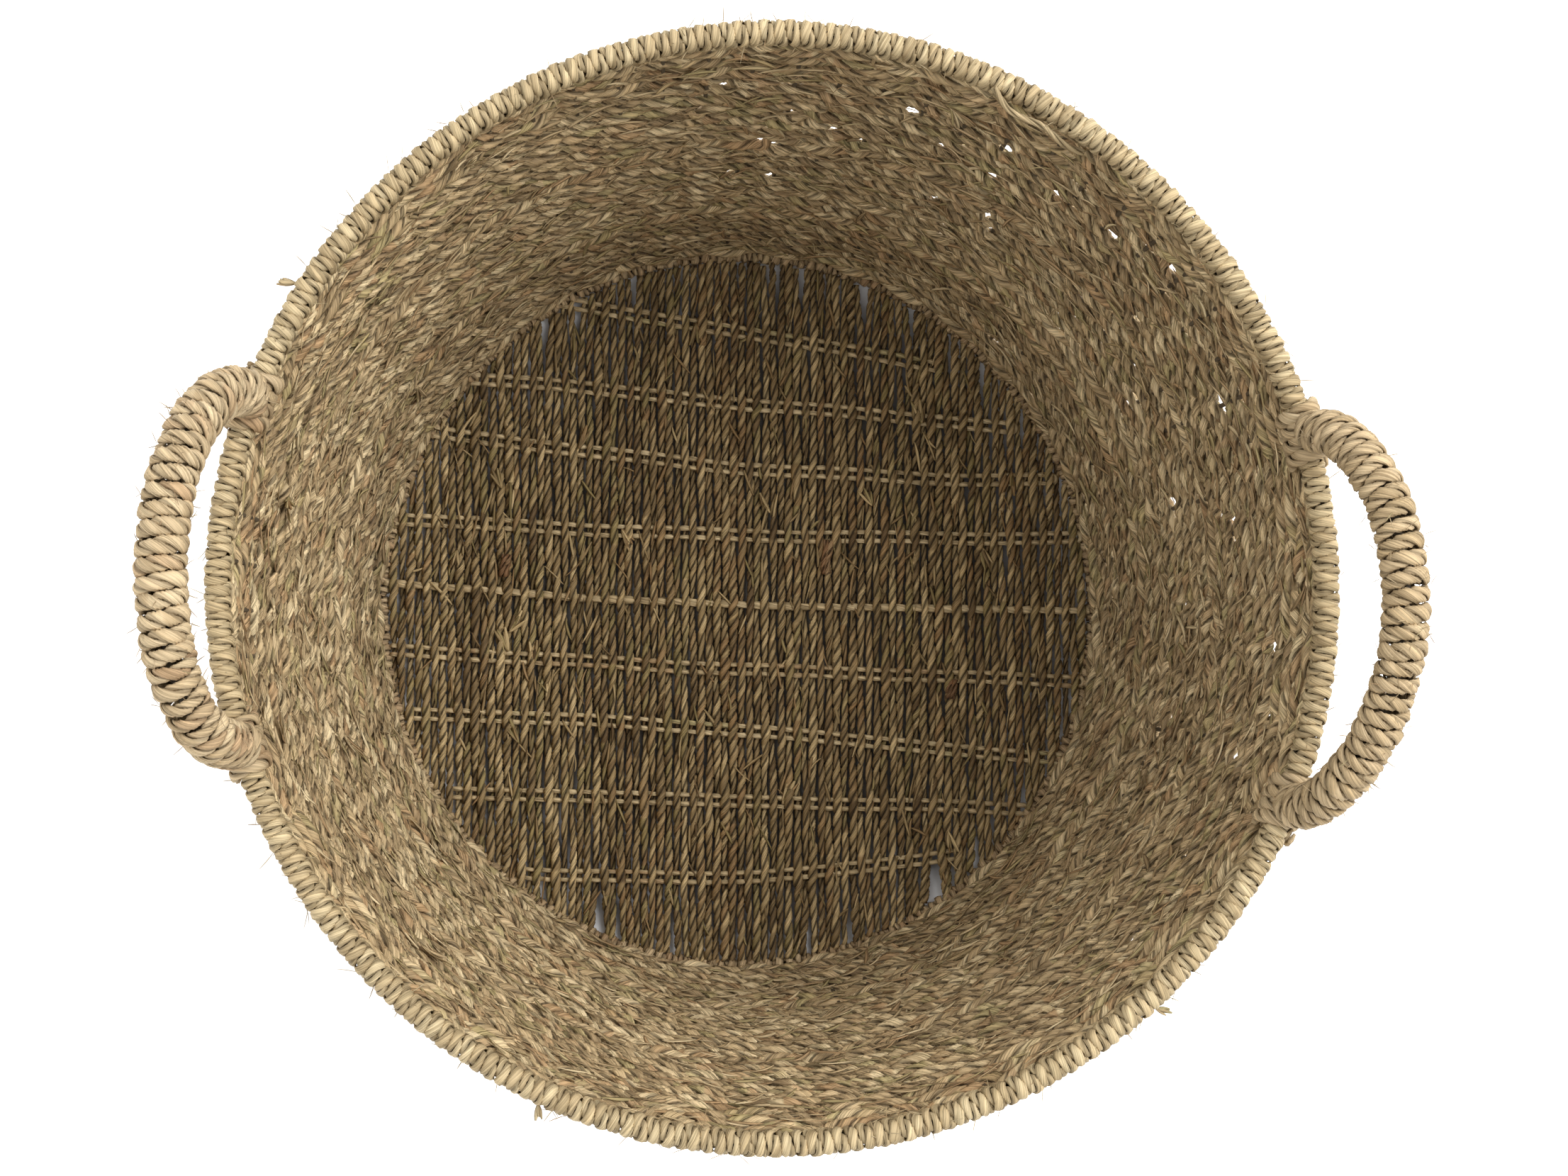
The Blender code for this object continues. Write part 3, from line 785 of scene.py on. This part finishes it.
# %% Coated wire
wire = bpy.data.materials.new("coated_wire")
wire.use_nodes = True
nodes, links = wire.node_tree.nodes, wire.node_tree.links
shader = nodes["Principled BSDF"]
place = nodes.new("ShaderNodeTexCoord")
noise = nodes.new("ShaderNodeTexNoise")
noise.inputs["Scale"].default_value = 260
noise.inputs["Detail"].default_value = 3
links.new(place.outputs["Object"], noise.inputs["Vector"])
coat = ramp(nodes, [(0.3, (0.060, 0.046, 0.030)), (0.7, (0.110, 0.085, 0.055))])
links.new(noise.outputs["Fac"], coat.inputs["Fac"])
links.new(coat.outputs["Color"], shader.inputs["Base Color"])
gloss = nodes.new("ShaderNodeMapRange")
gloss.inputs["To Min"].default_value, gloss.inputs["To Max"].default_value = 0.42, 0.62
links.new(noise.outputs["Fac"], gloss.inputs["Value"])
links.new(gloss.outputs["Result"], shader.inputs["Roughness"])
bump = nodes.new("ShaderNodeBump")
bump.inputs["Distance"].default_value = 0.1 * MM
links.new(noise.outputs["Fac"], bump.inputs["Height"])
links.new(bump.outputs["Normal"], shader.inputs["Normal"])
for name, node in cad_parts.items():
    if name.startswith(("stake_hairpin", "base_ring", "rim_hoop", "handle_core")) and not node.hide_render:
        node.data.materials.clear()
        node.data.materials.append(wire)

# %% [markdown]
# ## Floor, light and camera
# The basket stands on a white floor, and the camera looks down into it from a little left of its middle.
# The floor is painted dark right under the basket, as painted shade that makes the gaps between the base
# cords look deep. It glows a little further out, which is painted light that keeps it white. One large soft
# light comes from the upper right, so the left and the near wall are the bright ones. A weak one from the
# left keeps the right wall from going flat.

# %% The floor
FLOOR_SIZE = 12.0
bpy.ops.object.select_all(action="DESELECT")
bpy.ops.mesh.primitive_plane_add(size=FLOOR_SIZE, location=(0, 0, -0.3 * MM))
floor = bpy.context.object
floor.name = "floor"
white = bpy.data.materials.new("white_floor")
white.use_nodes = True
nodes, links = white.node_tree.nodes, white.node_tree.links
shader = nodes["Principled BSDF"]
shader.inputs["Roughness"].default_value = 0.9
shader.inputs["Emission Color"].default_value = (1, 1, 1, 1)
place = nodes.new("ShaderNodeTexCoord")
far = nodes.new("ShaderNodeVectorMath")
far.operation = "LENGTH"
# Painted light: the floor glows from 0.19 m out, which fills in the basket's cast shadow on it.
glow = nodes.new("ShaderNodeMapRange")
glow.inputs["From Min"].default_value, glow.inputs["From Max"].default_value = 0.19, 0.27
glow.inputs["To Max"].default_value = 0.45
# Painted shade: the floor's colour is dark under the basket and grey-blue near its foot, so the gaps between
# the base cords look dark.
shade = ramp(nodes, [(0.12, (0.15, 0.14, 0.13)), (0.16, (0.34, 0.34, 0.36)), (0.185, (0.93, 0.93, 0.93))])
links.new(far.outputs["Value"], shade.inputs["Fac"])
links.new(shade.outputs["Color"], shader.inputs["Base Color"])
links.new(place.outputs["Object"], far.inputs[0])
links.new(far.outputs["Value"], glow.inputs["Value"])
links.new(glow.outputs["Result"], shader.inputs["Emission Strength"])
floor.data.materials.append(white)

# %% The lights and the camera
def softbox(name, place, target, size, power, colour=(1, 1, 1)):
    light = bpy.data.lights.new(name, "AREA")
    light.shape = "SQUARE"
    light.size = size
    light.energy = power
    light.color = colour
    lamp = bpy.data.objects.new(name, light)
    lamp.location = place
    lamp.rotation_euler = (Vector(target) - Vector(place)).to_track_quat("-Z", "Y").to_euler()
    bpy.context.scene.collection.objects.link(lamp)


softbox("key", (1.24, 0.66, 2.0), (0, 0, 0.2), 1.6, 50)
softbox("fill", (-1.3, 0.1, 1.6), (0, 0, 0.2), 1.2, 7)
world = bpy.data.worlds.new("studio")
world.use_nodes = True
world.node_tree.nodes["Background"].inputs["Color"].default_value = (1, 0.985, 0.955, 1)
world.node_tree.nodes["Background"].inputs["Strength"].default_value = 0.84
bpy.context.scene.world = world
bpy.context.scene.view_settings.view_transform = "Standard"

eye = bpy.data.cameras.new("camera")
eye.lens = 56.6
eye.sensor_width = 36
camera = bpy.data.objects.new("camera", eye)
camera.location = (-0.069, -0.0427, 1.243)
LOOKED_AT = Vector((0.0, -0.002, 0.300))
back = (camera.location - LOOKED_AT).normalized()
right = Vector((0, 1, 0)).cross(back).normalized()
camera.rotation_euler = Matrix((right, back.cross(right), back)).transposed().to_euler()
bpy.context.scene.collection.objects.link(camera)
bpy.context.scene.camera = camera
